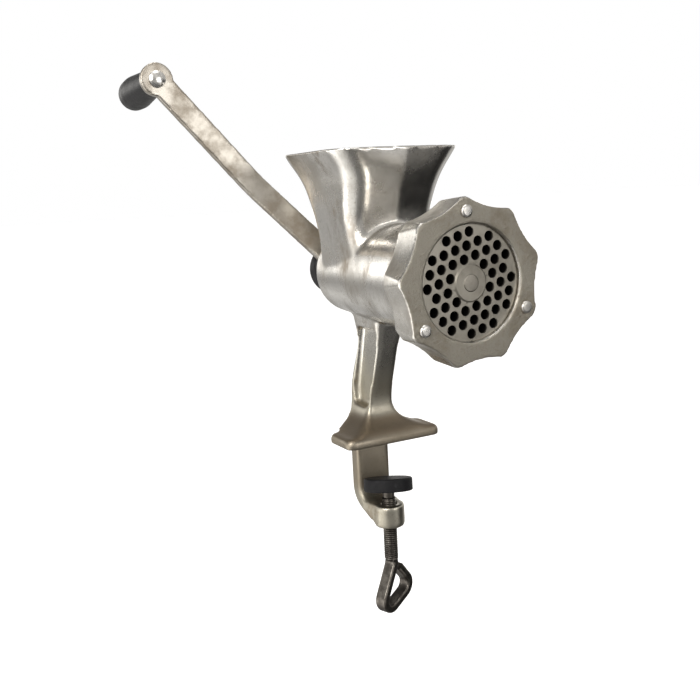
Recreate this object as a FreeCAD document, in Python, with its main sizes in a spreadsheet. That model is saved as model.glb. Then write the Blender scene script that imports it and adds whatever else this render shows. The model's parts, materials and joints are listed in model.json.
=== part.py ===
import FreeCAD, Part
import math
import os

import Sketcher
from FreeCAD import Placement, Rotation, Vector

# Hand crank meat mincer for a 70 mm hole plate, millimetres, +Z up.
# The origin is on the underside of the upper clamp jaw, on the clamp screw's axis.
# The barrel lies along Y with its outlet at -Y; X = 0 is the plane of symmetry of the casting.

doc = FreeCAD.newDocument("Mincer")

drivingSizes = {
    "Barrel": {
        "axisHeight": 113,          # barrel axis above the table seat
        "mouthFace": -101.8,        # front end of the casting
        "mouthRadius": 39.7,        # outside of the mouth thread
        "mouthThreadEnd": -84,
        "barrelFrontRadius": 36.5,
        "barrelMidFace": -58,
        "barrelMidRadius": 34,
        "shoulderFace": 38,
        "shoulderRadius": 28,
        "rearFace": 44,
        "rearBossRadius": 19,
        "recessRadius": 35.2,       # pocket for the plate and the knife
        "recessEnd": -85.3,
        "boreFrontRadius": 29.4,
        "boreRearRadius": 23,
        "rearWall": 34,
    },
    "Hopper": {
        "hopperWall": 3.2,
        "keel": 3.5,
    },
    "Leg": {
        "jawHalfWidth": 36,
        "jawFront": -14,
        "jawRear": 16.5,
        "jawThickness": 6.8,
        "jawCorner": 6,
        "spineHalfWidth": 12.6,
        "spineFront": 18,
        "spineRear": 29.3,
        "bossTop": -46,
        "bossBottom": -62,
        "bossRadius": 10.5,
        "screwBore": 4.93,
    },
    "Plate": {
        "plateFace": -103.3,
        "plateThickness": 8,
        "plateRadius": 34.9,
        "holePitch": 8,
        "holeRadius": 3,
        "latticeTurn": 15.9,
        "hubRadius": 11,
        "hubRise": 0.8,
        "pinHole": 5.03,
        "pinRadius": 4.95,
    },
    "Ring": {
        "ringFace": -106.3,
        "ringLength": 20,
        "ringOpening": 33,
        "crestRadius": 48.7,
        "valleyRadius": 44,
        "scallopRadius": 53.6,
        "lobeCount": 9,
        "lobeTurn": 95,
        "ringThread": 39.78,
        "studCircle": 40.5,
        "studRadius": 3.8,
    },
    "Feed": {
        "knifeHub": 9,
        "knifeRadius": 31.5,
        "squareSide": 11,
        "coreFrontRadius": 14,
        "coreRearRadius": 12,
        "flightPitch": 36,
        "flightThickness": 5,
        "flightGap": 1.5,
        "flightRoot": 13.6,         # inside the core all the way along the taper
        "journalRadius": 10,
        "bushBore": 10.05,
        "bushRadius": 13,
        "bushFlange": 17,
        "bushFlangeThickness": 1.2,
        "washerRadius": 20,
        "washerThickness": 1.5,
        "looseGap": 0.3,
    },
    "Crank": {
        "crankAngle": 131,
        "gripRadius": 175.5,
        "hubFace": 45.5,
        "crankHubThickness": 8,
        "crankHubRadius": 15,
        "crankSquare": 12.4,
        "armWidth": 15.4,
        "armThickness": 5.6,
        "armBend": 82,
        "armBendOffset": 25.7,
        "armEndOffset": 30.7,
        "endBossRadius": 10.8,
        "gripTilt": 3,
        "spindleRadius": 4,
        "ferruleLength": 5,
        "ferruleRadius": 8.7,
        "gripLength": 58,
        "gripEndRadius": 11.6,
        "knobRadius": 18.5,
        "knobThickness": 16,
        "studThread": 3.95,
    },
    "Clamp": {
        "screwRadius": 4.85,
        "screwTop": -42,
        "loopTop": -87,
        "padRadius": 16.8,
        "padThickness": 9,
        "padCentre": -32.5,
        "padTilt": 13,
        "padTiltHeading": -27.8,
        "neckRadius": 2.6,
        "socketRadius": 6.2,
        "loopBarWidth": 9,
        "loopBarThickness": 5.5,
        "loopTurn": 20,
    },
}


class Size:
    """A length that knows both its number and the sheet expression it comes from."""

    def __init__(self, value, text):
        self.value = float(value)
        self.text = text

    def joined(self, other, sign, result):
        other = sized(other)
        return Size(result, "(%s %s %s)" % (self.text, sign, other.text))

    def __add__(self, other):
        return self.joined(other, "+", self.value + sized(other).value)

    def __sub__(self, other):
        return self.joined(other, "-", self.value - sized(other).value)

    def __mul__(self, other):
        return self.joined(other, "*", self.value * sized(other).value)

    def __truediv__(self, other):
        return self.joined(other, "/", self.value / sized(other).value)

    def __rsub__(self, other):
        return sized(other) - self

    def __neg__(self):
        return Size(-self.value, "(-1 * %s)" % self.text)

    __radd__ = __add__
    __rmul__ = __mul__


def sized(value):
    return value if isinstance(value, Size) else Size(value, "%.6g" % value)


def fillSheet():
    """Writes every driving size to the sheet and returns them by alias."""
    sheet = doc.addObject("Spreadsheet::Sheet", "Sizes")
    named = {}
    row = 1
    for group, values in drivingSizes.items():
        sheet.set("A%d" % row, group)
        row += 1
        for alias, value in values.items():
            sheet.set("A%d" % row, alias)
            sheet.set("B%d" % row, str(value))
            sheet.setAlias("B%d" % row, alias)
            named[alias] = Size(value, "Sizes.%s" % alias)
            row += 1
    doc.recompute()
    return named


sizes = fillSheet()


class Sheet:
    def __getattr__(self, alias):
        return sizes[alias]


cell = Sheet()


# Sketching and feature helpers

def newBody(name):
    body = doc.addObject("PartDesign::Body", name)
    body.Label = name
    return body


def originFeature(body, role):
    return next(part for part in body.Origin.OriginFeatures if part.Role == role)


def newSketch(body, role, offset=0, slide=(0, 0), turn=None):
    """A sketch on one of the body's own planes, moved off it by bound distances."""
    sketch = body.newObject("Sketcher::SketchObject", "Sketch")
    sketch.AttachmentSupport = [(originFeature(body, role), "")]
    sketch.MapMode = "FlatFace"
    if turn is not None:
        sketch.AttachmentOffset = Placement(Vector(), Rotation(Vector(*turn[:3]), turn[3]))
    for axis, distance in zip("xyz", (slide[0], slide[1], offset)):
        sketch.setExpression(".AttachmentOffset.Base.%s" % axis, sized(distance).text)
    return sketch


def bind(sketch, constraint, size):
    """Adds a constraint whose value follows the sheet."""
    index = sketch.addConstraint(constraint)
    sketch.renameConstraint(index, "size%d" % index)
    sketch.setExpression("Constraints.size%d" % index, size.text)
    return index


def holdPoint(sketch, geometry, end, x, y):
    for kind, size in (("DistanceX", x), ("DistanceY", y)):
        bind(sketch, Sketcher.Constraint(kind, -1, 1, geometry, end, size.value), size)


def circle(sketch, x, y, radius):
    x, y, radius = sized(x), sized(y), sized(radius)
    round_ = Part.Circle(Vector(x.value, y.value, 0), Vector(0, 0, 1), radius.value)
    index = sketch.addGeometry(round_, False)
    holdPoint(sketch, index, 3, x, y)
    bind(sketch, Sketcher.Constraint("Radius", index, radius.value), radius)


def cornerArc(before, corner, after, radius):
    """The arc that rounds a polygon's corner, its two ends, and whether it turns left."""
    inward, outward = (before - corner).normalize(), (after - corner).normalize()
    half = inward.getAngle(outward) / 2
    start = corner + inward * (radius / math.tan(half))
    end = corner + outward * (radius / math.tan(half))
    centre = corner + (inward + outward).normalize() * (radius / math.sin(half))
    turnsLeft = outward.cross(inward).z > 0
    first, last = (start, end) if turnsLeft else (end, start)
    angles = [math.atan2(point.y - centre.y, point.x - centre.x) for point in (first, last)]
    if angles[1] < angles[0]:
        angles[1] += 2 * math.pi
    arc = Part.ArcOfCircle(Part.Circle(centre, Vector(0, 0, 1), radius), *angles)
    return arc, start, end, turnsLeft


def outline(sketch, points, closed=True):
    """A polygon of bound corners (x, y) or (x, y, radius), the rounded ones by tangent arcs."""
    corners = [(sized(p[0]), sized(p[1]), sized(p[2]) if len(p) > 2 else None) for p in points]
    places = [Vector(x.value, y.value, 0) for x, y, _ in corners]
    count = len(corners)
    arcs = {}
    for i, (x, y, radius) in enumerate(corners):
        if radius is not None:
            arcs[i] = cornerArc(places[i - 1], places[i], places[(i + 1) % count], radius.value)
    lines = []
    for i in range(count if closed else count - 1):
        follow = (i + 1) % count
        start = arcs[i][2] if i in arcs else places[i]
        end = arcs[follow][1] if follow in arcs else places[follow]
        lines.append(sketch.addGeometry(Part.LineSegment(start, end), False))
    for i, (x, y, radius) in enumerate(corners):
        leaving = lines[i] if i < len(lines) else None
        arriving = lines[i - 1] if closed or i > 0 else None
        if i not in arcs:
            if leaving is None:
                holdPoint(sketch, arriving, 2, x, y)
                continue
            holdPoint(sketch, leaving, 1, x, y)
            if arriving is not None:
                sketch.addConstraint(Sketcher.Constraint("Coincident", arriving, 2, leaving, 1))
            continue
        virtual = sketch.addGeometry(Part.Point(places[i]), True)
        holdPoint(sketch, virtual, 1, x, y)
        for line in (arriving, leaving):
            sketch.addConstraint(Sketcher.Constraint("PointOnObject", virtual, 1, line))
        curve = sketch.addGeometry(arcs[i][0], False)
        first, last = (1, 2) if arcs[i][3] else (2, 1)
        sketch.addConstraint(Sketcher.Constraint("Tangent", arriving, 2, curve, first))
        sketch.addConstraint(Sketcher.Constraint("Tangent", curve, last, leaving, 1))
        bind(sketch, Sketcher.Constraint("Radius", curve, radius.value), radius)
    return sketch


def pad(body, sketch, length, centred=False, back=False, cut=False, taper=0):
    """Pads or pockets a sketch by a bound length."""
    feature = body.newObject("PartDesign::Pocket" if cut else "PartDesign::Pad", "Pad")
    feature.Profile = sketch
    feature.setExpression("Length", sized(length).text)
    feature.Midplane = centred
    feature.Reversed = back
    feature.TaperAngle = taper
    return feature


def revolve(body, sketch, axis="H_Axis", cut=False):
    kind = "PartDesign::Groove" if cut else "PartDesign::Revolution"
    feature = body.newObject(kind, "Revolve")
    feature.Profile = sketch
    feature.ReferenceAxis = (sketch, [axis])
    feature.Angle = 360
    return feature


def loft(body, sections, cut=False, ruled=False):
    kind = "PartDesign::SubtractiveLoft" if cut else "PartDesign::AdditiveLoft"
    feature = body.newObject(kind, "Loft")
    feature.Profile = sections[0]
    feature.Sections = sections[1:]
    feature.Ruled = ruled
    return feature


def aroundAxis(body, feature, role, count):
    """Repeats a feature evenly around one of the body's axes."""
    pattern = body.newObject("PartDesign::PolarPattern", "Pattern")
    pattern.Originals = [feature]
    pattern.Axis = (originFeature(body, role), [""])
    pattern.Angle = 360
    pattern.Occurrences = count
    body.Tip = pattern
    return pattern


def soften(body, feature, radius, chosen, chamfer=False):
    """Fillets or chamfers the edges of the latest feature that the test picks."""
    doc.recompute()
    names = ["Edge%d" % (i + 1) for i, edge in enumerate(feature.Shape.Edges) if chosen(edge)]
    if not names:
        raise RuntimeError("no edge to soften on " + body.Label)
    dress = body.newObject("PartDesign::Chamfer" if chamfer else "PartDesign::Fillet", "Soften")
    dress.Base = (feature, names)
    if chamfer:
        dress.Size = radius
    else:
        dress.Radius = radius
    body.Tip = dress
    return dress


def setOnAxis(body):
    """Stands a body that was drawn on the origin's Y axis on the barrel's axis."""
    body.setExpression(".Placement.Base.z", cell.axisHeight.text)


def turned(name, points, place=setOnAxis):
    """A piece turned about the Y axis from (station, radius) corners."""
    body = newBody(name)
    sketch = outline(newSketch(body, "YZ_Plane"), points)
    revolve(body, sketch)
    place(body)
    return body


# Casting: barrel, hopper, leg and clamp in one piece

def hopperSection(body, height, halfWidth, front, rear, corner):
    """A rounded square across the hopper, with a slight keel in the middle of each side."""
    middle = (front + rear) / 2
    sketch = newSketch(body, "XY_Plane", height)
    return outline(sketch, [
        (0, front - cell.keel), (halfWidth, front, corner),
        (halfWidth + cell.keel / 3, middle), (halfWidth, rear, corner),
        (0, rear + cell.keel / 3), (-halfWidth, rear, corner),
        (-halfWidth - cell.keel / 3, middle), (-halfWidth, front, corner)])


# height above the barrel axis, half width, front and rear stations, corner radius
hopperOutside = [(80, 46.5, -38.5, 49.5, 19), (73, 42, -36.8, 49, 18), (64, 36.4, -34, 46.5, 16.5),
                 (50, 32.8, -27.8, 40.5, 15), (36, 31, -23.5, 35, 14), (22, 29.5, -25, 33, 13),
                 (6, 28.2, -30, 32, 12)]


def addHopper(body, inset=0, cut=False):
    """Lofts the hopper through its sections, or its inside when they are inset."""
    sections = [hopperSection(body, cell.axisHeight + height, sized(halfWidth) - inset,
                              sized(front) + inset, sized(rear) - inset, sized(corner) - inset)
                for height, halfWidth, front, rear, corner in hopperOutside]
    return loft(body, sections, cut)


# height above the seat, front and rear stations, half width, corner radius
legStations = [(94, -22, 30, 16, 5), (82, -15, 20, 11, 4), (66, -9.3, 20, 8.8, 2), (50, -3.8, 26, 8.6, 1.8),
               (35, 1.5, 31, 8.8, 1.8), (23, 3.8, 31, 9.8, 2.2), (14, 0, 28.5, 14.5, 4), (7, -10, 19, 29, 5)]


def legSection(body, height, front, rear, halfWidth, corner):
    sketch = newSketch(body, "XY_Plane", height)
    return outline(sketch, [(-halfWidth, front, corner), (halfWidth, front, corner),
                            (halfWidth, rear, corner), (-halfWidth, rear, corner)])


def addClampFrame(body):
    """Upper jaw, flat spine below it and the boss for the clamp screw."""
    jaw = newSketch(body, "XY_Plane")
    outline(jaw, [(-cell.jawHalfWidth, cell.jawFront, cell.jawCorner),
                  (cell.jawHalfWidth, cell.jawFront, cell.jawCorner),
                  (cell.jawHalfWidth, cell.jawRear, cell.jawCorner),
                  (-cell.jawHalfWidth, cell.jawRear, cell.jawCorner)])
    plate = pad(body, jaw, cell.jawThickness)
    soften(body, plate, 3.2, lambda edge: isLevel(edge, drivingSizes["Leg"]["jawThickness"]))
    spine = newSketch(body, "YZ_Plane")
    outline(spine, [
        (8, 5), (8, 0), (cell.spineFront, 0, 1), (cell.spineFront, cell.bossTop, 8), (0, cell.bossTop),
        (0, cell.bossBottom + 4), (7, cell.bossBottom + 4, 6),
        (cell.spineRear, cell.bossTop - 1, 16), (cell.spineRear, 0), (cell.spineRear + 1.5, 14),
        (cell.spineFront, 14)])
    bar = pad(body, spine, cell.spineHalfWidth * 2, centred=True)
    soften(body, bar, 2, isAlongSpine)
    trim = newSketch(body, "XY_Plane", cell.bossBottom - 1)
    outline(trim, [(cell.bossRadius, -20), (cell.bossRadius, 2), (cell.spineHalfWidth, 15),
                   (cell.spineHalfWidth + 8, 15), (cell.spineHalfWidth + 8, -20)])
    pocket = pad(body, trim, cell.bossTop - cell.bossBottom + 3, cut=True, back=True)
    mirror = body.newObject("PartDesign::Mirrored", "Mirror")
    mirror.Originals = [pocket]
    mirror.MirrorPlane = (originFeature(body, "YZ_Plane"), [""])
    body.Tip = mirror
    boss = newSketch(body, "XY_Plane", cell.bossBottom)
    circle(boss, 0, 0, cell.bossRadius)
    post = pad(body, boss, cell.bossTop - cell.bossBottom)
    soften(body, post, 1.8, lambda edge: isLevel(edge, drivingSizes["Leg"]["bossBottom"]))


def isLevel(edge, height):
    """True for an edge that lies all at one height."""
    box = edge.BoundBox
    return abs(box.ZMin - height) < 0.01 and abs(box.ZMax - height) < 0.01 and box.DiagonalLength > 1


def isAlongSpine(edge):
    """True for the long edges of the clamp's flat bar, below the jaw."""
    box = edge.BoundBox
    leg = drivingSizes["Leg"]
    onSide = abs(abs(box.XMin) - leg["spineHalfWidth"]) < 0.01 and box.XLength < 0.01
    return onSide and box.ZMax < 0.01 and box.YMin > 8


def makeCasting():
    body = newBody("body_casting")
    addClampFrame(body)
    loft(body, [legSection(body, *station) for station in legStations])
    barrel = newSketch(body, "YZ_Plane", slide=(0, cell.axisHeight))
    outline(barrel, [
        (cell.mouthFace, 0), (cell.mouthFace, cell.mouthRadius),
        (cell.mouthThreadEnd, cell.mouthRadius), (cell.mouthThreadEnd, cell.barrelFrontRadius),
        (cell.barrelMidFace, cell.barrelMidRadius), (cell.shoulderFace, cell.shoulderRadius, 8),
        (cell.rearFace, cell.rearBossRadius), (cell.rearFace, 0)])
    revolve(body, barrel)
    addHopper(body)

    # recessed web on both sides of the leg
    recess = newSketch(body, "YZ_Plane", 4.4)
    outline(recess, [(-9, 77, 3), (-1.6, 55), (4.8, 34), (7, 21.5, 4), (25.5, 22.5, 4), (27, 34),
                     (22.2, 52), (15.6, 77, 3)])
    side = pad(body, recess, 12, cut=True, back=True)
    mirror = body.newObject("PartDesign::Mirrored", "Mirror")
    mirror.Originals = [side]
    mirror.MirrorPlane = (originFeature(body, "YZ_Plane"), [""])
    body.Tip = mirror

    # barrel bore, hopper throat and the holes
    bore = newSketch(body, "YZ_Plane", slide=(0, cell.axisHeight))
    outline(bore, [
        (cell.mouthFace - 1, 0), (cell.mouthFace - 1, cell.recessRadius),
        (cell.recessEnd, cell.recessRadius), (cell.recessEnd, cell.boreFrontRadius),
        (cell.rearWall, cell.boreRearRadius), (cell.rearWall, cell.bushRadius),
        (cell.rearFace + 1, cell.bushRadius), (cell.rearFace + 1, 0)])
    revolve(body, bore, cut=True)
    addHopper(body, cell.hopperWall, cut=True)
    keySeat = newSketch(body, "XZ_Plane", -cell.mouthFace - 0.5, slide=(0, cell.axisHeight))
    circle(keySeat, 0, -cell.recessRadius, 2)
    pad(body, keySeat, cell.plateThickness - 2, cut=True)
    screwHole = newSketch(body, "XY_Plane", cell.bossBottom - 1)
    circle(screwHole, 0, 0, cell.screwBore)
    pad(body, screwHole, cell.bossTop - cell.bossBottom + 3, cut=True, back=True)
    return body


# Ring nut, hole plate, knife and feed screw

def frontPoint(radius, degrees):
    """X and Z of a point around the barrel axis, as seen from the outlet."""
    angle = math.radians(degrees)
    return radius * math.cos(angle), radius * math.sin(angle)


def makeRingNut():
    body = newBody("ring_nut")
    ringBack = cell.ringFace + cell.ringLength
    blank = newSketch(body, "YZ_Plane")
    outline(blank, [
        (cell.ringFace, cell.ringOpening + 1), (cell.ringFace, cell.crestRadius, 1.5),
        (ringBack, cell.crestRadius - 1.6, 1.2), (ringBack, cell.ringThread),
        (cell.plateFace - 0.1, cell.ringThread), (cell.plateFace - 0.1, cell.ringOpening),
        (cell.ringFace + 1, cell.ringOpening)])
    revolve(body, blank)
    scallop = newSketch(body, "XZ_Plane", -cell.ringFace + 2)
    x, z = frontPoint(1, drivingSizes["Ring"]["lobeTurn"] + 180 / drivingSizes["Ring"]["lobeCount"])
    reach = cell.valleyRadius + cell.scallopRadius
    circle(scallop, reach * x, reach * z, cell.scallopRadius)
    cut = pad(body, scallop, cell.ringLength + 4, cut=True)
    aroundAxis(body, cut, "Y_Axis", drivingSizes["Ring"]["lobeCount"])
    socket = newSketch(body, "XZ_Plane", -cell.ringFace + 1)
    x, z = frontPoint(1, drivingSizes["Ring"]["lobeTurn"])
    circle(socket, cell.studCircle * x, cell.studCircle * z, cell.studRadius - 1)
    sockets = pad(body, socket, 4, cut=True)
    aroundAxis(body, sockets, "Y_Axis", 3)
    setOnAxis(body)
    return body


def makeRingStuds():
    """Three round-headed studs in the face of the ring, one on every third lobe."""
    body = newBody("ring_studs")
    ring = drivingSizes["Ring"]
    x, z = frontPoint(1, ring["lobeTurn"])
    shank = newSketch(body, "XZ_Plane", -cell.ringFace - 3)
    circle(shank, cell.studCircle * x, cell.studCircle * z, cell.studRadius - 1)
    post = pad(body, shank, 3.2)
    head = newSketch(body, "XZ_Plane", -cell.ringFace)
    circle(head, cell.studCircle * x, cell.studCircle * z, cell.studRadius)
    dome = pad(body, head, 1.9)
    rounded = soften(body, dome, 1.7, lambda edge: abs(edge.BoundBox.YMin - ring["ringFace"] + 1.9) < 0.01)
    pattern = body.newObject("PartDesign::PolarPattern", "Pattern")
    pattern.Originals = [post, dome, rounded]
    pattern.Axis = (originFeature(body, "Y_Axis"), [""])
    pattern.Angle = 360
    pattern.Occurrences = 3
    body.Tip = pattern
    setOnAxis(body)
    return body


def makeHolePlate():
    body = newBody("hole_plate")
    plate = drivingSizes["Plate"]
    blank = newSketch(body, "YZ_Plane")
    plateBack = cell.plateFace + cell.plateThickness
    outline(blank, [
        (cell.plateFace, cell.hubRadius), (cell.plateFace, cell.plateRadius, 0.6),
        (plateBack, cell.plateRadius), (plateBack, cell.pinHole),
        (cell.plateFace - cell.hubRise, cell.pinHole),
        (cell.plateFace - cell.hubRise, cell.hubRadius - 1)])
    revolve(body, blank)
    lattice = newSketch(body, "XZ_Plane", -cell.plateFace + 1)
    for ring in (2, 3, 4):
        for step in range(1 if ring == 4 else 0, ring):
            x, z = latticePoint(ring - step, step, plate["latticeTurn"])
            circle(lattice, cell.holePitch * x, cell.holePitch * z, cell.holeRadius)
    holes = pad(body, lattice, cell.plateThickness + 2, cut=True)
    aroundAxis(body, holes, "Y_Axis", 6)
    notch = newSketch(body, "XZ_Plane", -cell.plateFace + 1)
    circle(notch, 0, -cell.recessRadius, 2.3)
    pad(body, notch, cell.plateThickness + 2, cut=True)
    setOnAxis(body)
    return body


def latticePoint(i, j, turn):
    """Point i, j of a triangular lattice of unit pitch, turned about its centre."""
    along, across = i + 0.5 * j, math.sqrt(0.75) * j
    cosine, sine = math.cos(math.radians(turn)), math.sin(math.radians(turn))
    return along * cosine - across * sine, along * sine + across * cosine


def makeKeyPin():
    """Pin along the bottom of the mouth that stops the plate from turning."""
    body = newBody("plate_key_pin")
    sketch = newSketch(body, "XZ_Plane", -cell.mouthFace - 0.5)
    circle(sketch, 0, -cell.recessRadius, 2)
    pad(body, sketch, cell.plateThickness - 2, back=True)
    setOnAxis(body)
    return body


def makeKnife():
    """Four-bladed knife with a square hole, its flat side against the plate."""
    body = newBody("cutter_knife")
    knifeFront = cell.plateFace + cell.plateThickness + 0.1
    hub = newSketch(body, "XZ_Plane", -knifeFront)
    circle(hub, 0, 0, 11)
    pad(body, hub, cell.knifeHub, back=True)
    blade = newSketch(body, "XZ_Plane", -knifeFront)
    outline(blade, [(0, -6), (cell.knifeRadius - 3, -7.5), (cell.knifeRadius, -3, 2),
                    (cell.knifeRadius - 1, 1.5), (0, 3)])
    arm = pad(body, blade, 5, back=True)
    aroundAxis(body, arm, "Y_Axis", 4)
    square = newSketch(body, "XZ_Plane", -knifeFront + 1)
    half = cell.squareSide / 2 + 0.1
    outline(square, [(-half, -half), (half, -half), (half, half), (-half, half)])
    pad(body, square, cell.knifeHub + 2, cut=True)
    setOnAxis(body)
    return body


def makePivotPin():
    """Round front pin that runs in the plate, with the square that drives the knife."""
    body = newBody("front_pivot_pin")
    plateBack = cell.plateFace + cell.plateThickness
    pin = newSketch(body, "YZ_Plane")
    outline(pin, [(cell.plateFace - 1.1, 0), (cell.plateFace - 1.1, cell.pinRadius, 0.6),
                  (plateBack + 16, cell.pinRadius), (plateBack + 16, 0)])
    revolve(body, pin)
    square = newSketch(body, "XZ_Plane", -plateBack - 0.3)
    half = cell.squareSide / 2
    outline(square, [(-half, -half), (half, -half), (half, half), (-half, half)])
    pad(body, square, cell.knifeHub, back=True)
    setOnAxis(body)
    return body


def makeFeedScrew():
    """Tapered core with one screw flight that carries food from the hopper to the knife."""
    body = newBody("feed_screw")
    feedFront = cell.plateFace + cell.plateThickness + cell.knifeHub + 0.35
    feedRear = cell.rearWall - cell.washerThickness - cell.looseGap
    core = newSketch(body, "YZ_Plane")
    outline(core, [(feedFront, cell.pinRadius), (feedFront, cell.coreFrontRadius, 1),
                   (feedRear - 6, cell.coreRearRadius), (feedRear - 4, 20.5, 1), (feedRear, 20.5, 1),
                   (feedRear, 8), (feedRear - 22, 8), (feedRear - 22, 0),
                   (feedFront + 8.5, 0), (feedFront + 8.5, cell.pinRadius)])
    revolve(body, core)
    flight = newSketch(body, "YZ_Plane")
    slope = (drivingSizes["Barrel"]["boreFrontRadius"] - drivingSizes["Barrel"]["boreRearRadius"]) / (
        drivingSizes["Barrel"]["rearWall"] - drivingSizes["Barrel"]["recessEnd"])
    tip = cell.boreFrontRadius - cell.flightGap
    root = feedFront + 1
    outline(flight, [(root, cell.flightRoot), (root + cell.flightThickness + 2.4, cell.flightRoot),
                     (root + cell.flightThickness - 0.8, tip - 0.25), (root + 0.8, tip)])
    helix = body.newObject("PartDesign::AdditiveHelix", "Flight")
    helix.Profile = flight
    helix.ReferenceAxis = (flight, ["H_Axis"])
    helix.Mode = 0
    helix.setExpression("Pitch", cell.flightPitch.text)
    helix.setExpression("Height", (feedRear - feedFront - 12 - cell.flightThickness).text)
    helix.Angle = -math.degrees(math.atan(slope))
    helix.Reversed = False
    setOnAxis(body)
    return body


# Bearing, shaft and crank

def makeRearBush():
    rim = cell.rearFace + cell.bushFlangeThickness
    return turned("rear_bush", [
        (cell.rearWall, cell.bushBore), (cell.rearWall, cell.bushRadius),
        (cell.rearFace, cell.bushRadius), (cell.rearFace, cell.bushFlange),
        (rim, cell.bushFlange), (rim, cell.bushBore)])


def makeThrustWasher():
    front = cell.rearWall - cell.washerThickness - cell.looseGap
    rear = cell.rearWall - cell.looseGap
    return turned("thrust_washer", [
        (front, cell.journalRadius), (front, cell.washerRadius),
        (rear, cell.washerRadius), (rear, cell.journalRadius)])


def makeFeedShaft():
    """Steel shaft set in the feed screw: journal, then the square for the crank."""
    body = newBody("feed_screw_shaft")
    feedRear = cell.rearWall - cell.washerThickness - cell.looseGap
    hubEnd = cell.hubFace + cell.crankHubThickness
    turnedSketch = newSketch(body, "YZ_Plane")
    outline(turnedSketch, [(feedRear - 21.9, 0), (feedRear - 21.9, 7.97), (feedRear, 7.97),
                           (feedRear, cell.journalRadius), (cell.hubFace, cell.journalRadius),
                           (cell.hubFace, 0)])
    revolve(body, turnedSketch)
    square = newSketch(body, "XZ_Plane", -cell.hubFace)
    half = cell.crankSquare / 2 - 0.05
    outline(square, [(-half, -half), (half, -half), (half, half), (-half, half)])
    pad(body, square, hubEnd - cell.hubFace, back=True)
    thread = newSketch(body, "XZ_Plane", -hubEnd - 1)
    circle(thread, 0, 0, cell.studThread + 0.06)
    pad(body, thread, 22, cut=True, back=True)
    turnToCrank(body)
    return body


def turnToCrank(body):
    """Turns a body drawn with the arm along +X about the barrel axis to the crank's angle."""
    body.Placement = Placement(Vector(0, 0, sizes["axisHeight"].value),
                               Rotation(Vector(0, 1, 0), -drivingSizes["Crank"]["crankAngle"]))
    setOnAxis(body)


def makeCrankArm():
    """Flat arm that leans back past the hopper, with a square hub and a round end."""
    body = newBody("crank_arm")
    hubRear = cell.hubFace + cell.crankHubThickness
    side = newSketch(body, "XY_Plane")
    bendY = cell.hubFace + cell.armBendOffset
    endY = cell.hubFace + cell.armEndOffset
    outline(side, [
        (0, cell.hubFace + 0.5), (7, cell.hubFace + 0.5, 20), (cell.armBend, bendY, 60),
        (cell.gripRadius, endY), (cell.gripRadius - 0.3, endY + cell.armThickness),
        (cell.armBend - 1.6, bendY + cell.armThickness, 60), (6, hubRear, 20), (0, hubRear)])
    arm = pad(body, side, cell.armWidth, centred=True)
    hub = newSketch(body, "XZ_Plane", -cell.hubFace)
    circle(hub, 0, 0, cell.crankHubRadius)
    pad(body, hub, cell.crankHubThickness, back=True)
    tilt = drivingSizes["Crank"]["gripTilt"]
    end = newSketch(body, "XZ_Plane", -endY, (cell.gripRadius, 0), turn=(0, 1, 0, tilt))
    circle(end, 0, 0, cell.endBossRadius)
    pad(body, end, cell.armThickness, back=True)
    square = newSketch(body, "XZ_Plane", -cell.hubFace + 1)
    half = cell.crankSquare / 2
    outline(square, [(-half, -half), (half, -half), (half, half), (-half, half)])
    pad(body, square, cell.crankHubThickness + 2, cut=True)
    seat = newSketch(body, "XZ_Plane", -hubRear)
    circle(seat, 0, 0, 12.8)
    pad(body, seat, 6, cut=True)
    rivet = newSketch(body, "XZ_Plane", -endY, (cell.gripRadius, 0), turn=(0, 1, 0, tilt))
    circle(rivet, 0, 0, cell.spindleRadius)
    pad(body, rivet, cell.armThickness * 3, centred=True, cut=True)
    turnToCrank(body)
    return body


def placeOnGrip(body):
    """Stands a body drawn about its own Y axis on the grip's tilted axis."""
    crank = drivingSizes["Crank"]
    hand = Placement(Vector(crank["gripRadius"], crank["hubFace"] + crank["armEndOffset"], 0),
                     Rotation(Vector(0, 0, 1), crank["gripTilt"]))
    body.Placement = Placement(Vector(0, 0, sizes["axisHeight"].value),
                               Rotation(Vector(0, 1, 0), -crank["crankAngle"])).multiply(hand)


def makeGrip():
    """Spindle riveted through the arm, and the ferruled sleeve that turns on it."""
    armRear = cell.armThickness
    sleeveFront = armRear + cell.looseGap + cell.ferruleLength
    sleeveEnd = sleeveFront + cell.gripLength
    bore = cell.spindleRadius + 0.08
    turned("grip_spindle", [
        (-2, 0), (-2, 3.4), (-0.7, 5.4), (-0.7, cell.spindleRadius),
        (sleeveEnd - 3.6, cell.spindleRadius), (sleeveEnd - 1.8, 2.6), (sleeveEnd - 1.8, 0)],
        placeOnGrip)
    turned("grip_ferrule", [
        (armRear + cell.looseGap, bore), (armRear + cell.looseGap, cell.ferruleRadius, 0.8),
        (sleeveFront, cell.ferruleRadius), (sleeveFront, bore)], placeOnGrip)
    turned("grip_sleeve", [
        (sleeveFront, bore), (sleeveFront, cell.ferruleRadius - 0.2),
        (sleeveEnd - 14, cell.gripEndRadius, 30), (sleeveEnd, cell.gripEndRadius - 0.6, 4),
        (sleeveEnd, 6.5), (sleeveEnd - 6, 6.5), (sleeveEnd - 6, bore)], placeOnGrip)
    turned("grip_end_washer", [
        (sleeveEnd - 5.7, cell.spindleRadius), (sleeveEnd - 5.7, 6.1),
        (sleeveEnd - 4.5, 6.1), (sleeveEnd - 4.5, cell.spindleRadius)], placeOnGrip)


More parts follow.
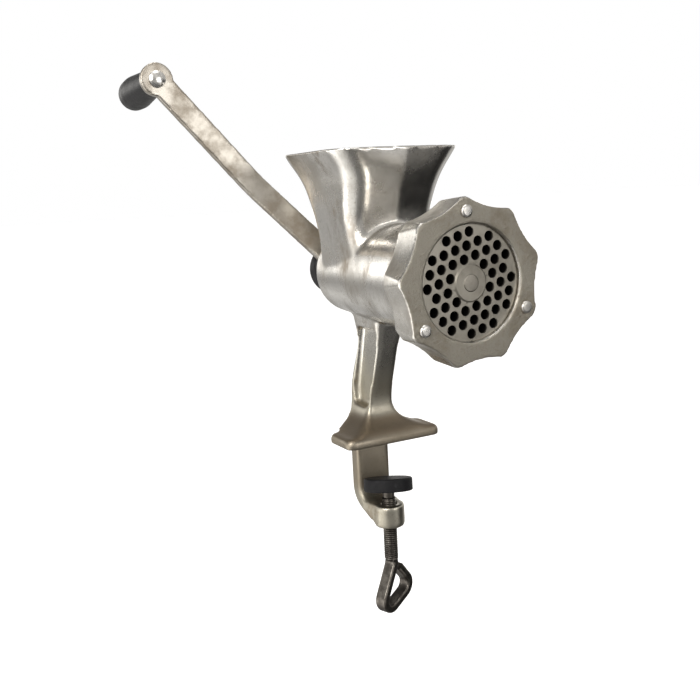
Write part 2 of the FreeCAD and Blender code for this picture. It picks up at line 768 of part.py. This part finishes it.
def makeHandleScrew():
    """Washer, threaded stud and round knob that hold the crank on its square."""
    washerFront = cell.hubFace + cell.crankHubThickness + cell.looseGap
    washerRear = washerFront + cell.washerThickness
    knobFront = washerRear + cell.looseGap
    knobRear = knobFront + cell.knobThickness
    turned("crank_washer", [
        (washerFront, cell.studThread + 0.08), (washerFront, 11),
        (washerRear, 11), (washerRear, cell.studThread + 0.08)])
    turned("handle_screw", [
        (cell.hubFace - 10, 0), (cell.hubFace - 10, cell.studThread - 0.6),
        (cell.hubFace - 9, cell.studThread), (knobFront, cell.studThread), (knobFront, 6.97),
        (knobFront + 3.97, 6.97), (knobFront + 3.97, 4.97), (knobRear - 4.03, 4.97),
        (knobRear - 4.03, 0)])
    turned("handle_screw_knob", [
        (knobFront, 7), (knobFront, 12), (knobFront + 5, cell.knobRadius - 1, 3),
        (knobRear, cell.knobRadius, 6), (knobRear, 0), (knobRear - 4, 0), (knobRear - 4, 5),
        (knobFront + 4, 5), (knobFront + 4, 7)])


# Clamp screw

def makeClampScrew():
    """Threaded rod whose lower end is a flat bar bent round into a thumb loop."""
    body = newBody("clamp_screw")
    rod = newSketch(body, "XZ_Plane")
    outline(rod, [(0, cell.loopTop), (cell.screwRadius, cell.loopTop),
                  (cell.screwRadius, cell.screwTop, 0.8), (cell.neckRadius, cell.screwTop),
                  (cell.neckRadius, cell.padCentre - 2.4), (3.5, cell.padCentre - 1.2),
                  (3.5, cell.padCentre + 1.2, 1.5), (0, cell.padCentre + 3)])
    revolve(body, rod, "V_Axis")

    # the flat bar leaves the rod, runs down to a tight bend, back up and home beside the rod
    drop = cell.loopTop
    path = newSketch(body, "XZ_Plane")
    outline(path, [(0, drop + 2), (0, drop - 3, 6), (-20.5, drop - 42, 7), (19.4, drop - 24, 7.5),
                   (5.2, drop - 6.6)], closed=False)
    profile = newSketch(body, "XY_Plane", drop + 2)
    wide, thick = cell.loopBarWidth / 2, cell.loopBarThickness / 2
    outline(profile, [(-thick, -wide, 1.5), (thick, -wide, 1.5), (thick, wide, 1.5), (-thick, wide, 1.5)])
    sweep = body.newObject("PartDesign::AdditivePipe", "Loop")
    sweep.Profile = profile
    sweep.Spine = (path, [])
    sweep.Transition = 2
    body.Placement = Placement(Vector(), Rotation(Vector(0, 0, 1), drivingSizes["Clamp"]["loopTurn"]))
    return body


def makePadRetainer():
    """Cup that holds the pad to the screw's neck and rides up with it without turning."""
    body = newBody("pad_retainer")
    half = cell.padThickness / 2
    cup = newSketch(body, "XZ_Plane")
    bore = cell.neckRadius + 0.08
    outline(cup, [(bore, cell.screwTop + 0.4), (4, cell.screwTop + 0.4, 0.5),
                  (4, cell.padCentre - half + 1.2, 0.5), (bore, cell.padCentre - half + 1.2)])
    revolve(body, cup, "V_Axis")
    return body


def makePad():
    """Loose round pad on the screw's tip, leaning as it hangs."""
    body = newBody("pressure_pad")
    half = cell.padThickness / 2
    ceiling = half - 1.1
    disc = newSketch(body, "XZ_Plane")
    outline(disc, [(0, ceiling), (cell.socketRadius, ceiling), (cell.socketRadius, -half),
                   (cell.padRadius, -half, 1), (cell.padRadius, half, 1.2), (0, half)])
    revolve(body, disc, "V_Axis")
    clamp = drivingSizes["Clamp"]
    heading = math.radians(clamp["padTiltHeading"])
    body.Placement = Placement(
        Vector(0, 0, clamp["padCentre"]),
        Rotation(Vector(math.cos(heading), math.sin(heading), 0), -clamp["padTilt"]))
    return body


def checkedBodies():
    """Every body of the document, once its features and shape are known to be sound."""
    for item in doc.Objects:
        if "Invalid" in item.State or "Error" in item.State:
            raise RuntimeError("%s failed" % item.Label)
    bodies = [item for item in doc.Objects if item.isDerivedFrom("PartDesign::Body")]
    for body in bodies:
        if body.Shape.isNull() or not body.Shape.isValid():
            raise RuntimeError("%s has no sound shape" % body.Label)
    return bodies


for make in (makeCasting, makeRingNut, makeRingStuds, makeHolePlate, makeKeyPin, makeKnife,
             makePivotPin, makeFeedScrew, makeRearBush, makeThrustWasher, makeFeedShaft,
             makeCrankArm, makeGrip, makeHandleScrew, makeClampScrew, makePadRetainer, makePad):
    make()
doc.recompute()

os.makedirs("parts", exist_ok=True)
for subPart in checkedBodies():
    subPart.Shape.exportStep("parts/%s.step" % subPart.Label)
    print(subPart.Label, len(subPart.Shape.Solids), round(subPart.Shape.Volume))
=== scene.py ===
import math
import json

import bmesh
import bpy
from mathutils import Matrix, Vector


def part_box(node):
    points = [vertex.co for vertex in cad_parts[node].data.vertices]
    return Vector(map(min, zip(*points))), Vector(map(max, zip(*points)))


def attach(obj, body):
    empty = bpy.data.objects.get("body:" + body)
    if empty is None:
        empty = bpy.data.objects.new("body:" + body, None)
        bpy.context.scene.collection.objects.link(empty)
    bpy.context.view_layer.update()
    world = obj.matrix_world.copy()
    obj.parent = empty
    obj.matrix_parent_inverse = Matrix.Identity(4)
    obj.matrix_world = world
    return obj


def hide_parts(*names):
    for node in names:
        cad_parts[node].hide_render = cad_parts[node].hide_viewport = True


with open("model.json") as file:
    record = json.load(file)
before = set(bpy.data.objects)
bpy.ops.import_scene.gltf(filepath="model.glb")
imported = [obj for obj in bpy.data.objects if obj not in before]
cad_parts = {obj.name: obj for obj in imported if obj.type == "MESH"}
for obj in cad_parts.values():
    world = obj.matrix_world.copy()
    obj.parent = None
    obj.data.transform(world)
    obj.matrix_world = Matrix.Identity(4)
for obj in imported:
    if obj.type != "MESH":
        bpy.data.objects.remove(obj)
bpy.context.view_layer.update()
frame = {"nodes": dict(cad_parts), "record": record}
scene = bpy.context.scene


# Node trees

def newFinish(name):
    finish = bpy.data.materials.new(name)
    finish.use_nodes = True
    tree = finish.node_tree
    shader = next(n for n in tree.nodes if n.type == "BSDF_PRINCIPLED")
    place = tree.nodes.new("ShaderNodeTexCoord")
    return finish, tree, shader, place.outputs["Object"]


def cloud(tree, coords, scale, detail=4, rough=0.55, stretch=None):
    if stretch:  # grain that runs along one way
        turn = tree.nodes.new("ShaderNodeMapping")
        turn.inputs["Scale"].default_value = stretch
        tree.links.new(coords, turn.inputs["Vector"])
        coords = turn.outputs["Vector"]
    noise = tree.nodes.new("ShaderNodeTexNoise")
    noise.inputs["Scale"].default_value = scale
    noise.inputs["Detail"].default_value = detail
    noise.inputs["Roughness"].default_value = rough
    tree.links.new(coords, noise.inputs["Vector"])
    return noise.outputs["Fac"]


def spread(tree, value, low, high, toLow=0.0, toHigh=1.0):
    ranged = tree.nodes.new("ShaderNodeMapRange")
    ranged.interpolation_type = "SMOOTHSTEP"
    for socket, number in zip(("From Min", "From Max", "To Min", "To Max"), (low, high, toLow, toHigh)):
        ranged.inputs[socket].default_value = number
    tree.links.new(value, ranged.inputs["Value"])
    return ranged.outputs["Result"]


def sums(tree, operation, first, second):
    node = tree.nodes.new("ShaderNodeMath")
    node.operation = operation
    for socket, value in zip(node.inputs, (first, second)):
        if isinstance(value, (int, float)):
            socket.default_value = value
        else:
            tree.links.new(value, socket)
    return node.outputs[0]


def tint(tree, factor, below, above):
    mixed = tree.nodes.new("ShaderNodeMix")
    mixed.data_type = "RGBA"
    tree.links.new(factor, mixed.inputs["Factor"])
    for socket, colour in ((mixed.inputs[6], below), (mixed.inputs[7], above)):
        if isinstance(colour, tuple):
            socket.default_value = (*colour, 1)
        else:
            tree.links.new(colour, socket)
    return mixed.outputs[2]


def grain(tree, shader, height, depth, under=None):
    bump = tree.nodes.new("ShaderNodeBump")
    bump.inputs["Distance"].default_value = depth
    bump.inputs["Strength"].default_value = 1
    tree.links.new(height, bump.inputs["Height"])
    if under is not None:
        tree.links.new(under, bump.inputs["Normal"])
    tree.links.new(bump.outputs["Normal"], shader.inputs["Normal"])
    return bump.outputs["Normal"]


def along(tree, coords, axis):
    split = tree.nodes.new("ShaderNodeSeparateXYZ")
    tree.links.new(coords, split.inputs["Vector"])
    return split.outputs[axis]


def surfaceWay(tree, axis):
    # which way the surface faces, measured along one axis
    return along(tree, tree.nodes.new("ShaderNodeTexCoord").outputs["Normal"], axis)


def band(tree, value, edges, share=1):
    # rises over the first two edges and falls over the last two
    return sums(tree, "MULTIPLY", spread(tree, value, *edges[2:], share, 0),
                spread(tree, value, *edges[:2]))


# Finishes, one for each material slot of the object

castLook = {
    "bright": (0.64, 0.625, 0.595), "dull": (0.46, 0.44, 0.405), "brown": (0.22, 0.175, 0.125),
    "olive": (0.36, 0.335, 0.26), "oliveFrom": 0.085, "oliveTo": 0.035, "oliveShare": 0.72,
    "patchSize": 26, "stainSize": 48, "stainShare": 0.75, "speckleSize": 620, "speckleShare": 0.4,
    "paintedShadeHeights": (-0.047, -0.034, 0.006, 0.028), "paintedShadeShare": 0.62,  # painted shade between boss and jaw
    "jawPaintedShadeHeights": (-0.004, 0.001, 0.012, 0.036), "jawPaintedShadeShare": 0.92,  # painted shade on top of the jaw, under the barrel
    "gloss": 0.15, "dullness": 0.36, "stainDullness": 0.16, "legDullness": 0.15,
    "waveSize": 70, "waveDepth": 0.00013, "pitSize": 850, "pitDepth": 0.00006,
}


def makeCastFinish(look):
    finish, tree, shader, coords = newFinish("castFinish")
    patches = cloud(tree, coords, look["patchSize"], 5, 0.6)
    stains = cloud(tree, coords, look["stainSize"], 8, 0.68, (1, 1, 0.55))
    speckle = cloud(tree, coords, look["speckleSize"], 3, 0.6)
    height = along(tree, coords, "Z")
    low = spread(tree, height, look["oliveTo"], look["oliveFrom"], 1, 0)
    colour = tint(tree, spread(tree, patches, 0.4, 0.66), look["bright"], look["dull"])
    colour = tint(tree, sums(tree, "MULTIPLY", low, look["oliveShare"]), colour, look["olive"])
    stainsAndPaintedShade = sums(tree, "MULTIPLY", spread(tree, stains, 0.53, 0.72), look["stainShare"])
    # painted shade: a brown band on the spine between boss and jaw
    paintedShade = band(tree, height, look["paintedShadeHeights"], look["paintedShadeShare"])
    # painted shade: the upward faces of the jaw are darkened to brown
    lying = spread(tree, surfaceWay(tree, "Z"), 0.25, 0.8)
    jaw = sums(tree, "MULTIPLY", lying, band(tree, height, look["jawPaintedShadeHeights"]))
    jaw = sums(tree, "MULTIPLY", jaw, look["jawPaintedShadeShare"])
    # real stains and the painted shade are joined into one brown mask
    stainsAndPaintedShade = sums(tree, "MAXIMUM", sums(tree, "MAXIMUM", stainsAndPaintedShade, paintedShade), jaw)
    colour = tint(tree, stainsAndPaintedShade, colour, look["brown"])
    dark = sums(tree, "MULTIPLY", spread(tree, speckle, 0.56, 0.74), look["speckleShare"])
    colour = tint(tree, dark, colour, look["brown"])
    tree.links.new(colour, shader.inputs["Base Color"])
    rough = sums(tree, "ADD", spread(tree, patches, 0.35, 0.7, look["gloss"], look["dullness"]),
                 sums(tree, "MULTIPLY", stainsAndPaintedShade, look["stainDullness"]))
    rough = sums(tree, "ADD", rough, sums(tree, "MULTIPLY", low, look["legDullness"]))
    tree.links.new(rough, shader.inputs["Roughness"])
    shader.inputs["Metallic"].default_value = 1
    swell = grain(tree, shader, cloud(tree, coords, look["waveSize"], 3), look["waveDepth"])
    grain(tree, shader, cloud(tree, coords, look["pitSize"], 5, 0.7), look["pitDepth"], swell)
    return finish


ringLook = {
    "face": (0.37, 0.345, 0.295), "crest": (0.66, 0.64, 0.6), "brown": (0.2, 0.165, 0.12),
    "blotchSize": 42, "blotchShare": 0.55, "sandSize": 620, "sandShare": 0.45,
    "crestGloss": 0.27, "faceDullness": 0.46, "blotchDullness": 0.12,
    "waveSize": 95, "waveDepth": 0.00018, "sandDepth": 0.0006,
}


def makeRingFinish(look):
    finish, tree, shader, coords = newFinish("ringFinish")
    front = spread(tree, surfaceWay(tree, "Y"), -0.95, -0.55, 1, 0)
    blotch = spread(tree, cloud(tree, coords, look["blotchSize"], 7, 0.65), 0.45, 0.72)
    sand = cloud(tree, coords, look["sandSize"], 5, 0.8)
    colour = tint(tree, front, look["crest"], look["face"])
    colour = tint(tree, sums(tree, "MULTIPLY", blotch, look["blotchShare"]), colour, look["brown"])
    sandy = sums(tree, "MULTIPLY", spread(tree, sand, 0.5, 0.75), look["sandShare"])
    tree.links.new(tint(tree, sandy, colour, look["brown"]), shader.inputs["Base Color"])
    rough = sums(tree, "ADD", spread(tree, front, 0, 1, look["crestGloss"], look["faceDullness"]),
                 sums(tree, "MULTIPLY", blotch, look["blotchDullness"]))
    tree.links.new(rough, shader.inputs["Roughness"])
    shader.inputs["Metallic"].default_value = 1
    swell = grain(tree, shader, cloud(tree, coords, look["waveSize"], 3), look["waveDepth"])
    grain(tree, shader, sums(tree, "MULTIPLY", sand, front), look["sandDepth"], swell)
    return finish


def makeSteelFinish(name, bright, worn, gloss, dullness, size):
    finish, tree, shader, coords = newFinish(name)
    patches = cloud(tree, coords, size, 6, 0.62)
    colour = tint(tree, spread(tree, patches, 0.4, 0.68), bright, worn)
    tree.links.new(colour, shader.inputs["Base Color"])
    tree.links.new(spread(tree, patches, 0.35, 0.7, gloss, dullness), shader.inputs["Roughness"])
    shader.inputs["Metallic"].default_value = 1
    grain(tree, shader, cloud(tree, coords, 700, 4, 0.65), 0.00005)
    return finish


plateLook = {
    "steel": (0.33, 0.31, 0.27), "worn": (0.22, 0.205, 0.175), "shade": (0.015, 0.013, 0.012),
    "shadeFrom": 0.0011, "shadeTo": 0.0022,  # depth into the holes
    "gloss": 0.4, "holeDullness": 0.75,
}


def makePlateFinish(look):
    finish, tree, shader, coords = newFinish("plateFinish")
    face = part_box("hole_plate")[0].y
    inside = spread(tree, along(tree, coords, "Y"), face + look["shadeFrom"], face + look["shadeTo"])
    patches = cloud(tree, coords, 55, 6, 0.6)
    colour = tint(tree, spread(tree, patches, 0.35, 0.7), look["steel"], look["worn"])
    tree.links.new(tint(tree, inside, colour, look["shade"]), shader.inputs["Base Color"])
    rough = spread(tree, inside, 0, 1, look["gloss"], look["holeDullness"])
    tree.links.new(rough, shader.inputs["Roughness"])
    shader.inputs["Metallic"].default_value = 1
    grain(tree, shader, cloud(tree, coords, 800, 4, 0.7), 0.00006)
    return finish


def makeBlackFinish(name, colour, gloss, dullness, depth):
    finish, tree, shader, coords = newFinish(name)
    scuffs = cloud(tree, coords, 130, 6, 0.7)
    scuffed = tuple(min(1, share * 2.6 + 0.012) for share in colour)
    mixed = tint(tree, spread(tree, scuffs, 0.5, 0.8), colour, scuffed)
    tree.links.new(mixed, shader.inputs["Base Color"])
    tree.links.new(spread(tree, scuffs, 0.3, 0.75, gloss, dullness), shader.inputs["Roughness"])
    shader.inputs["Specular IOR Level"].default_value = 0.22  # dry plastic and rubber
    grain(tree, shader, cloud(tree, coords, 900, 3, 0.6), depth)
    return finish


finishes = {
    "casting": makeCastFinish(castLook),
    "ring_metal": makeRingFinish(ringLook),
    "plate_steel": makePlateFinish(plateLook),
}
for slot, (name, bright, worn, gloss, dullness, size) in {
        "bright_steel": ("brightSteel", (0.68, 0.67, 0.65), (0.5, 0.48, 0.45), 0.2, 0.36, 60),
        "dark_steel": ("darkSteel", (0.08, 0.072, 0.064), (0.2, 0.185, 0.165), 0.42, 0.3, 150),
        "arm_metal": ("armMetal", (0.50, 0.47, 0.42), (0.33, 0.29, 0.24), 0.3, 0.46, 60),
        "pin": ("pinFinish", (0.3, 0.28, 0.245), (0.2, 0.185, 0.155), 0.36, 0.5, 140),
        "bush_bronze": ("bushBronze", (0.60, 0.43, 0.22), (0.4, 0.28, 0.15), 0.3, 0.45, 60)}.items():
    finishes[slot] = makeSteelFinish(name, bright, worn, gloss, dullness, size)
for slot, (name, colour, gloss, dullness, depth) in {
        "fibre": ("fibreWasher", (0.2, 0.09, 0.05), 0.6, 0.8, 0.0001),
        "black_grip": ("blackPlastic", (0.004, 0.004, 0.005), 0.34, 0.5, 0.00003),
        "black_rubber": ("blackRubber", (0.004, 0.004, 0.005), 0.5, 0.7, 0.00007)}.items():
    finishes[slot] = makeBlackFinish(name, colour, gloss, dullness, depth)
print("finishes made:", len(finishes))


# Pieces

slotOf = {part["node"]: part["material_slot"] for part in frame["record"]["subparts"]}
bodyOf = {node: body for body, nodes in frame["record"]["behaviour"]["bodies"].items() for node in nodes}


def bake(piece):
    # the evaluated result becomes the plain mesh, with no modifier left
    graph = bpy.context.evaluated_depsgraph_get()
    done = bpy.data.meshes.new_from_object(piece.evaluated_get(graph), depsgraph=graph)
    piece.modifiers.clear()
    piece.data = done
    return piece


def copyNode(node, name, voxel=0, passes=0, edgeAngle=22, reshape=None):
    # a merged copy of a CAD piece, softened like a casting when a voxel size is given
    mesh = frame["nodes"][node].data.copy()
    mesh.materials.clear()
    work = bmesh.new()
    work.from_mesh(mesh)
    bmesh.ops.remove_doubles(work, verts=work.verts, dist=1e-6)
    work.to_mesh(mesh)
    work.free()
    piece = bpy.data.objects.new(name, mesh)
    scene.collection.objects.link(piece)
    if voxel:
        remesh = piece.modifiers.new("soften", "REMESH")
        remesh.mode = "VOXEL"
        remesh.voxel_size = voxel
        melt = piece.modifiers.new("melt", "SMOOTH")
        melt.factor = 0.5
        melt.iterations = passes
        bake(piece)
    if reshape:
        for vertex in piece.data.vertices:
            vertex.co = reshape(vertex.co)
    piece.data.shade_smooth()
    if not voxel:
        piece.data.set_sharp_from_angle(angle=math.radians(edgeAngle))
    return piece


def mount(piece, node, finish=None):
    # the piece stands for the CAD node and moves with its body
    slot = slotOf[node]
    piece.data.materials.clear()
    piece.data.materials.append(finishes[finish or slot])
    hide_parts(node)
    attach(piece, bodyOf[node])
    return piece


axisHeight = 0.113
mouthThread = {"end": -0.0845, "crest": 0.0397, "depth": 0.0008, "pitch": 0.003,
               "skinFrom": 0.0383, "skin": 0.039, "lead": 0.001}
clampBore = {"radius": 0.00498, "reach": 0.0054, "top": -0.0452, "bottom": -0.0628}


def trimCasting(co):
    # lets the thread ridge stand on the mouth, and the clamp screw run free in its hole
    fromAxis = math.hypot(co.x, co.z - axisHeight)
    if co.y < mouthThread["end"] and fromAxis > mouthThread["skinFrom"]:
        shrink = (mouthThread["crest"] - mouthThread["depth"]) / max(fromAxis, mouthThread["skin"])
        return Vector((co.x * shrink, co.y, axisHeight + (co.z - axisHeight) * shrink))
    fromScrew = math.hypot(co.x, co.y)
    if clampBore["bottom"] < co.z < clampBore["top"] and fromScrew < clampBore["reach"]:
        grow = max(1, clampBore["radius"] / fromScrew)
        return Vector((co.x * grow, co.y * grow, co.z))
    return co


for node, (title, voxel, passes, reshape) in {  # voxel size and smoothing passes
        "body_casting": ("castBody", 0.00125, 9, trimCasting),
        "ring_nut": ("ringNut", 0.0009, 3, None),
        "crank_arm": ("crankArm", 0.0008, 3, None)}.items():
    mount(copyNode(node, title, voxel, passes, reshape=reshape), node)
print("castings done")

edgeAngles = {"hole_plate": 8, "ring_studs": 50}  # all others keep edges sharper than 22 degrees
ownFinish = {"front_pivot_pin": "pin"}
for node, title in {
        "hole_plate": "holePlate", "cutter_knife": "cutterKnife", "front_pivot_pin": "pivotPin",
        "feed_screw": "feedScrew", "rear_bush": "rearBush", "feed_screw_shaft": "feedShaft",
        "grip_spindle": "gripSpindle", "grip_ferrule": "gripFerrule", "grip_sleeve": "gripSleeve",
        "crank_washer": "crankWasher", "handle_screw_knob": "handleKnob", "ring_studs": "ringStuds",
        "pad_retainer": "padRetainer", "pressure_pad": "pressurePad"}.items():
    mount(copyNode(node, title, edgeAngle=edgeAngles.get(node, 22)), node, ownFinish.get(node))
print("turned pieces done")


# Clamp screw with its thread

screwThread = {"crest": 0.00485, "depth": 0.0006, "pitch": 0.0015, "top": -0.0425, "bottom": -0.086,
               "rodEnd": -0.0872, "skinFrom": 0.0045}
threadShape = {"steps": 40, "sides": 6}  # steps in a turn, and sides of the ridge


def trimRod(co):
    # lets the thread ridge stand on the rod
    if co.z > screwThread["rodEnd"] and math.hypot(co.x, co.y) > screwThread["skinFrom"]:
        shrink = 1 - screwThread["depth"] / screwThread["crest"]
        return Vector((co.x * shrink, co.y * shrink, co.z))
    return co


def makeThreadTree():
    tree = bpy.data.node_groups.new("threadRidge", "GeometryNodeTree")
    side = tree.interface
    side.new_socket("Geometry", in_out="OUTPUT", socket_type="NodeSocketGeometry")
    for name, kind in (("Crest", "Float"), ("Depth", "Float"), ("Length", "Float"), ("Turns", "Float"),
                       ("Finish", "Material")):
        side.new_socket(name, in_out="INPUT", socket_type="NodeSocket" + kind)
    nodes, links = tree.nodes, tree.links
    given = nodes.new("NodeGroupInput")
    spiral = nodes.new("GeometryNodeCurveSpiral")
    spiral.inputs["Resolution"].default_value = threadShape["steps"]
    root = nodes.new("ShaderNodeMath")
    root.operation = "SUBTRACT"
    links.new(given.outputs["Crest"], root.inputs[0])
    links.new(given.outputs["Depth"], root.inputs[1])
    for socket in ("Start Radius", "End Radius"):
        links.new(root.outputs[0], spiral.inputs[socket])
    links.new(given.outputs["Length"], spiral.inputs["Height"])
    links.new(given.outputs["Turns"], spiral.inputs["Rotations"])
    ridge = nodes.new("GeometryNodeCurvePrimitiveCircle")
    ridge.inputs["Resolution"].default_value = threadShape["sides"]
    links.new(given.outputs["Depth"], ridge.inputs["Radius"])
    sweep = nodes.new("GeometryNodeCurveToMesh")
    sweep.inputs["Fill Caps"].default_value = True
    links.new(spiral.outputs[0], sweep.inputs["Curve"])
    links.new(ridge.outputs[0], sweep.inputs["Profile Curve"])
    whole = nodes.new("GeometryNodeRealizeInstances")
    coated = nodes.new("GeometryNodeSetMaterial")
    out = nodes.new("NodeGroupOutput")
    links.new(sweep.outputs[0], whole.inputs[0])
    links.new(whole.outputs[0], coated.inputs["Geometry"])
    links.new(given.outputs["Finish"], coated.inputs["Material"])
    links.new(coated.outputs[0], out.inputs[0])
    return tree


threadTree = makeThreadTree()


def setInput(modifier, name, value):
    socket = next(item for item in modifier.node_group.interface.items_tree
                  if item.name == name and item.in_out == "INPUT")
    modifier[socket.identifier] = value


def addThread(name, thread, length, place, slot, body):
    piece = bpy.data.objects.new(name, bpy.data.meshes.new(name))
    scene.collection.objects.link(piece)
    turning = piece.modifiers.new("thread", "NODES")
    turning.node_group = threadTree
    setInput(turning, "Crest", thread["crest"])
    setInput(turning, "Depth", thread["depth"])
    setInput(turning, "Length", length)
    setInput(turning, "Turns", length / thread["pitch"])
    setInput(turning, "Finish", finishes[slot])
    bake(piece)
    piece.data.transform(place)
    work = bmesh.new()
    work.from_mesh(piece.data)
    bmesh.ops.recalc_face_normals(work, faces=work.faces)
    work.to_mesh(piece.data)
    work.free()
    piece.data.shade_smooth()
    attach(piece, body)
    return piece


mount(copyNode("clamp_screw", "clampScrew", reshape=trimRod), "clamp_screw")
addThread("clampThread", screwThread, screwThread["top"] - screwThread["bottom"],
          Matrix.Translation((0, 0, screwThread["bottom"])), "dark_steel", "screw")
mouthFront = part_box("body_casting")[0].y + mouthThread["lead"]
mouthRear = mouthThread["end"] - mouthThread["lead"]
addThread("mouthThread", mouthThread, mouthRear - mouthFront,
          Matrix.Translation((0, mouthRear, axisHeight)) @ Matrix.Rotation(math.pi / 2, 4, "X"),
          "casting", "mincer_body")
print("threads done")

for node, piece in frame["nodes"].items():  # small pieces that keep their own mesh
    piece.data.materials.clear()
    piece.data.materials.append(finishes[slotOf[node]])


# Stage, light and camera

floorLook = {"size": 60, "height": -0.42, "white": 0.93, "dullness": 0.9, "glow": 0.55}


def makeStage(look):
    bpy.ops.mesh.primitive_plane_add(size=look["size"], location=(0, 0, look["height"]))
    floor = bpy.context.object
    floor.name = "floor"
    paper, _, shader, _ = newFinish("paleFloor")
    shader.inputs["Base Color"].default_value = (look["white"], look["white"], look["white"], 1)
    shader.inputs["Roughness"].default_value = look["dullness"]
    shader.inputs["Emission Color"].default_value = (1, 1, 1, 1)
    shader.inputs["Emission Strength"].default_value = look["glow"]
    floor.data.materials.append(paper)
    floor.visible_glossy = False


roomLook = {  # brightness by height, from straight down to straight up
    "behind": ((0, 0.4), (0.22, 0.45), (0.33, 0.75), (0.41, 0.4), (0.47, 0.6), (0.53, 1.9), (0.61, 1.6),
               (0.67, 0.16), (0.72, 0.15), (0.745, 0.9), (0.77, 0.16), (0.86, 0.14), (1, 0.5)),
    "ahead": ((0, 0.2), (0.25, 0.24), (0.33, 0.28), (0.42, 0.52), (0.5, 0.52), (0.58, 0.42), (0.7, 0.7),
              (1, 0.8)),
    "warmth": (1, 0.98, 0.945),
    "clutterSize": 2.6, "clutterLevel": (0.72, 1.25),
    "corner": ((-0.84, 0.05, -0.5), 0.74, 0.95, 4.6),  # way it lies, where it starts and is full, level
    "doorway": ((0.82, -0.46, -0.36), 0.85, 0.9, 0.86),
    "gap": ((0.5, -0.84, -0.38), 0.985, 0.996, 2.6),
}


def opening(tree, way, name):
    direction, low, high, level = roomLook[name]
    turn = tree.nodes.new("ShaderNodeVectorMath")
    turn.operation = "DOT_PRODUCT"
    tree.links.new(way, turn.inputs[0])
    turn.inputs[1].default_value = Vector(direction).normalized()
    return sums(tree, "MULTIPLY", spread(tree, turn.outputs["Value"], low, high), level)


def heightBands(tree, height, stops):
    bands = tree.nodes.new("ShaderNodeValToRGB")
    for place, _ in stops[1:-1]:
        bands.color_ramp.elements.new(place)
    for element, (place, level) in zip(bands.color_ramp.elements, stops):
        element.position = place
        element.color = (*(level * share for share in roomLook["warmth"]), 1)
    tree.links.new(height, bands.inputs["Fac"])
    return bands.outputs["Color"]


def makeRoom():
    # a white backdrop for the camera, and a dim room with bright openings in the reflections
    world = bpy.data.worlds.new("room")
    world.use_nodes = True
    scene.world = world
    tree = world.node_tree
    backdrop = tree.nodes["Background"]
    backdrop.inputs["Color"].default_value = (1, 1, 1, 1)
    room = tree.nodes.new("ShaderNodeBackground")
    way = tree.nodes.new("ShaderNodeTexCoord").outputs["Generated"]
    height = sums(tree, "ADD", sums(tree, "MULTIPLY", along(tree, way, "Z"), 0.5), 0.5)
    behind = spread(tree, along(tree, way, "Y"), 0, 0.5)
    colour = tint(tree, behind, heightBands(tree, height, roomLook["ahead"]),
                  heightBands(tree, height, roomLook["behind"]))
    clutter = spread(tree, cloud(tree, way, roomLook["clutterSize"], 3), 0.35, 0.65,
                     *roomLook["clutterLevel"])
    doorway = sums(tree, "SUBTRACT", 1, opening(tree, way, "doorway"))
    level = sums(tree, "MULTIPLY", sums(tree, "ADD", clutter, opening(tree, way, "corner")), doorway)
    level = sums(tree, "ADD", level, opening(tree, way, "gap"))
    tree.links.new(colour, room.inputs["Color"])
    tree.links.new(level, room.inputs["Strength"])
    rays = tree.nodes.new("ShaderNodeLightPath")
    choice = tree.nodes.new("ShaderNodeMixShader")
    tree.links.new(rays.outputs["Is Camera Ray"], choice.inputs[0])
    tree.links.new(room.outputs[0], choice.inputs[1])
    tree.links.new(backdrop.outputs[0], choice.inputs[2])
    tree.links.new(choice.outputs[0], tree.nodes["World Output"].inputs["Surface"])


lamps = {  # place, point it looks at, width and height, power, colour
    "window": ((-1.5, -0.9, 0.9), (0, 0, 0.1), (0.9, 1.3), 26, (1, 0.97, 0.93)),
    "ceiling": ((-0.1, -0.2, 1.9), (0, 0, 0.1), (1.1, 0.5), 12, (1, 1, 1)),
    "fill": ((0.5, -1.8, 0.35), (0, 0, 0.05), (0.9, 0.9), 7, (1, 0.98, 0.95)),
}


def addLamp(name, place, aim, size, power, colour):
    lamp = bpy.data.lights.new(name, "AREA")
    lamp.shape = "RECTANGLE"
    lamp.size, lamp.size_y = size
    lamp.energy = power
    lamp.color = colour
    holder = bpy.data.objects.new(name, lamp)
    holder.location = place
    holder.rotation_euler = (Vector(aim) - Vector(place)).to_track_quat("-Z", "Y").to_euler()
    scene.collection.objects.link(holder)


makeStage(floorLook)
makeRoom()
for name, lamp in lamps.items():
    addLamp(name, *lamp)

view = {"place": (-0.3004, -0.5239, 0.1678), "yaw": -27.8, "pitch": 9.9, "roll": -3.0,
        "lens": 47.0, "sensor": 36, "nearest": 0.01}


def addCamera():
    lens = bpy.data.cameras.new("view")
    lens.lens = view["lens"]
    lens.sensor_width = view["sensor"]
    lens.clip_start = view["nearest"]
    camera = bpy.data.objects.new("view", lens)
    yaw, pitch, roll = (math.radians(view[angle]) for angle in ("yaw", "pitch", "roll"))
    back = Vector((math.sin(yaw) * math.cos(pitch), -math.cos(yaw) * math.cos(pitch), math.sin(pitch)))
    level = Vector((math.cos(yaw), math.sin(yaw), 0))
    upright = back.cross(level)
    right = level * math.cos(roll) + upright * math.sin(roll)
    up = upright * math.cos(roll) - level * math.sin(roll)
    turn = Matrix((right, up, back)).transposed().to_4x4()
    camera.matrix_world = Matrix.Translation(view["place"]) @ turn
    scene.collection.objects.link(camera)
    scene.camera = camera


addCamera()
scene.view_settings.view_transform = "Standard"

print("stage, light and camera done")
